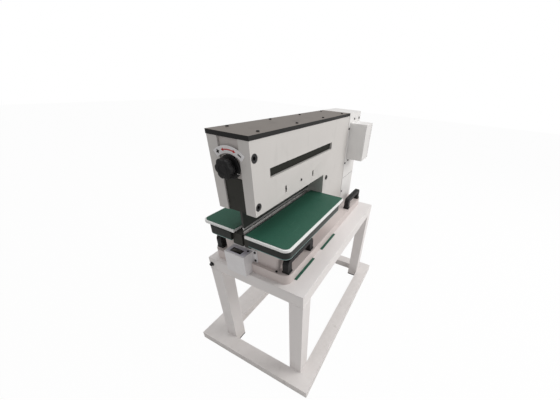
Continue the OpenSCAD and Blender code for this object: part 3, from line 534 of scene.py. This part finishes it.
def print_on_scale(name, ink, finish):
    """Turns printed faces to the left and gives the ink its thickness."""
    bmesh.ops.recalc_face_normals(ink, faces=ink.faces)
    for face in ink.faces:
        if face.normal.x > 0:
            face.normal_flip()
    bmesh.ops.solidify(ink, geom=ink.faces, thickness=0.1 * MM)
    bmesh.ops.recalc_face_normals(ink, faces=ink.faces)
    piece(name, ink, finish, ROOT, 30)


def scale_print():
    """Red two-way arrow on the scale plate, between a plus mark and a minus mark."""
    lo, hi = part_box("scale_plate")
    outer = 84 * MM
    middle = outer - 10 * MM
    arrow_reach = 13
    mark_at = 30
    mark_reach = 4.6
    cross_reach = 1.6
    centre = Vector((lo.x - 0.12 * MM, (lo.y + hi.y) / 2, hi.z - outer))
    red = bmesh.new()
    arc_band(red, centre, middle - 1.6 * MM, middle + 1.6 * MM, -arrow_reach, arrow_reach)
    for way in (-1, 1):
        arrow_tip(red, centre, middle, arrow_reach * way, way, 8.5 * MM)
    print_on_scale("scale_arrow", red, INK_RED)
    black = bmesh.new()
    for angle in (-mark_at, mark_at):
        arc_band(black, centre, middle - 2 * MM, middle + 2 * MM,
                 angle - mark_reach, angle + mark_reach, 4)
    arc_band(black, centre, middle - 5.5 * MM, middle + 5.5 * MM,
             mark_at - cross_reach, mark_at + cross_reach, 1)
    print_on_scale("scale_marks", black, INK_BLACK)


def display_window():
    """The counter's smoked display window and its rim."""
    lo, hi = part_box("counter_display")
    glass_lo = Vector((lo.x + 6.4 * MM, lo.y + 21 * MM, hi.z - 1.3 * MM))
    glass_hi = Vector((lo.x + 24.6 * MM, hi.y - 13 * MM, hi.z - 0.1 * MM))
    glass = bmesh.new()
    bar(glass, glass_lo, glass_hi)
    round_edges(glass, 0.4 * MM)
    piece("display_glass", glass, GLASS_DARK, ROOT)
    rim = bmesh.new()
    wide = 2.2 * MM
    rim_lo = Vector((glass_lo.x - wide, glass_lo.y - wide, hi.z))
    rim_hi = Vector((glass_hi.x + wide, glass_hi.y + wide, hi.z + 0.8 * MM))
    bar(rim, rim_lo, (rim_hi.x, rim_lo.y + wide, rim_hi.z))
    bar(rim, (rim_lo.x, rim_hi.y - wide, rim_lo.z), rim_hi)
    bar(rim, (rim_lo.x, rim_lo.y + wide, rim_lo.z),
        (rim_lo.x + wide, rim_hi.y - wide, rim_hi.z))
    bar(rim, (rim_hi.x - wide, rim_lo.y + wide, rim_lo.z),
        (rim_hi.x, rim_hi.y - wide, rim_hi.z))
    piece("display_rim", rim, FINISHES["moulded_black"], ROOT)


def reset_cap():
    """The counter's moulded button, slightly dished, with a bevelled rim."""
    lo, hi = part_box("reset_button")
    rim = 0.8 * MM
    radius = (hi.x - lo.x) / 2
    tall = hi.z - lo.z
    cap = turned([(0, 0), (0, radius), (tall - rim, radius),
                  (tall, radius - rim), (tall - rim / 2, 0)],
                 ((lo.x + hi.x) / 2, (lo.y + hi.y) / 2, lo.z), (0, 0, 1), 32)
    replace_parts(piece("reset_cap", cap, FINISHES["moulded_black"], "button"),
                "reset_button")


def cover_seams():
    """Joint lines of the sheet cover and of the control box."""
    lo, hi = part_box("right_cover")
    box_lo, box_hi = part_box("control_box")
    seams = bmesh.new()
    joint_rise = 150 * MM
    lid_depth = 14 * MM
    joint_z = lo.z + joint_rise
    bar(seams, (lo.x + 2 * MM, lo.y - 0.25 * MM, joint_z),
        (hi.x - 2 * MM, lo.y + 0.3 * MM, joint_z + 1.2 * MM))
    lid_x = box_hi.x - lid_depth
    bar(seams, (lid_x, box_lo.y - 0.25 * MM, box_lo.z + 3 * MM),
        (lid_x + 1 * MM, box_lo.y + 0.3 * MM, box_hi.z - 3 * MM))
    piece("cover_seams", seams, SEAM_DARK, ROOT, 30)


# ---------------------------------------------------------------- the studio


def pale_floor():
    """A floor that the camera sees almost white, with the object's shadow on it."""
    f = Finish("floor_pale", Roughness=0.9, Base_Color=(0.78, 0.77, 0.76))
    seen = f.node("Emission", {}, {"Color": (1.0, 1.0, 1.0), "Strength": 1.0})
    share = f.node("LightPath", {}, {}, "Is Camera Ray") * 0.97
    blend = f.node("MixShader", {}, {0: share, 1: Wire(f, f.shader.outputs[0]), 2: seen})
    f.plug(f.tree.nodes["Material Output"].inputs["Surface"], blend)
    shape = bmesh.new()
    bmesh.ops.create_grid(shape, x_segments=1, y_segments=1, size=12)
    mesh = bpy.data.meshes.new("floor")
    shape.to_mesh(mesh)
    shape.free()
    floor = bpy.data.objects.new("floor", mesh)
    bpy.context.scene.collection.objects.link(floor)
    dress(floor, f)


def studio_light():
    """A soft dome, seen as white, and three large lamps."""
    world = bpy.data.worlds.new("studio")
    bpy.context.scene.world = world
    world.use_nodes = True
    nodes, links = world.node_tree.nodes, world.node_tree.links
    dome = nodes["Background"]
    dome.inputs["Color"].default_value = (1.0, 0.99, 0.985, 1)
    dome.inputs["Strength"].default_value = 0.43
    white = nodes.new("ShaderNodeBackground")
    white.inputs["Color"].default_value = (1, 1, 1, 1)
    pick = nodes.new("ShaderNodeMixShader")
    path = nodes.new("ShaderNodeLightPath")
    links.new(path.outputs["Is Camera Ray"], pick.inputs[0])
    links.new(dome.outputs[0], pick.inputs[1])
    links.new(white.outputs[0], pick.inputs[2])
    links.new(pick.outputs[0], nodes["World Output"].inputs["Surface"])
    lamps = {
        "key": ((1.4, -2.9, 2.5), 2.2, 68, (1.0, 0.985, 0.97)),
        "overhead": ((0.1, -0.1, 3.4), 2.6, 34, (1.0, 1.0, 1.0)),
        "side": ((-3.0, 0.6, 1.9), 1.8, 2.5, (0.97, 0.985, 1.0)),
    }
    for name, (spot, size, power, colour) in lamps.items():
        lamp = bpy.data.lights.new(name, "AREA")
        lamp.size, lamp.energy, lamp.color = size, power, colour
        holder = bpy.data.objects.new(name, lamp)
        holder.location = spot
        aim = Vector((0, 0, 0.6)) - holder.location
        holder.rotation_euler = aim.to_track_quat("-Z", "Y").to_euler()
        bpy.context.scene.collection.objects.link(holder)


def camera():
    """Stands at the left front corner, close by and above, looking down along the head."""
    view = bpy.data.cameras.new("camera")
    view.sensor_width = 36
    view.lens = 14.95
    view.shift_x = -0.0636
    view.shift_y = 0.0734
    forward = Vector((0.74784, 0.34288, -0.56848)).normalized()
    right = Vector((0.45116, -0.89067, 0.05630)).normalized()
    up = right.cross(forward)
    turn = Matrix((right, up, -forward)).transposed().to_4x4()
    holder = bpy.data.objects.new("camera", view)
    holder.matrix_world = Matrix.Translation((-0.9284, -0.5038, 1.1882)) @ turn
    bpy.context.scene.collection.objects.link(holder)
    bpy.context.scene.camera = holder


camera()
pale_floor()
studio_light()
dress_frame()
mats()
weld_beads()
knob()
scale_print()
display_window()
reset_cap()
cover_seams()
bpy.context.scene.view_settings.view_transform = "Standard"
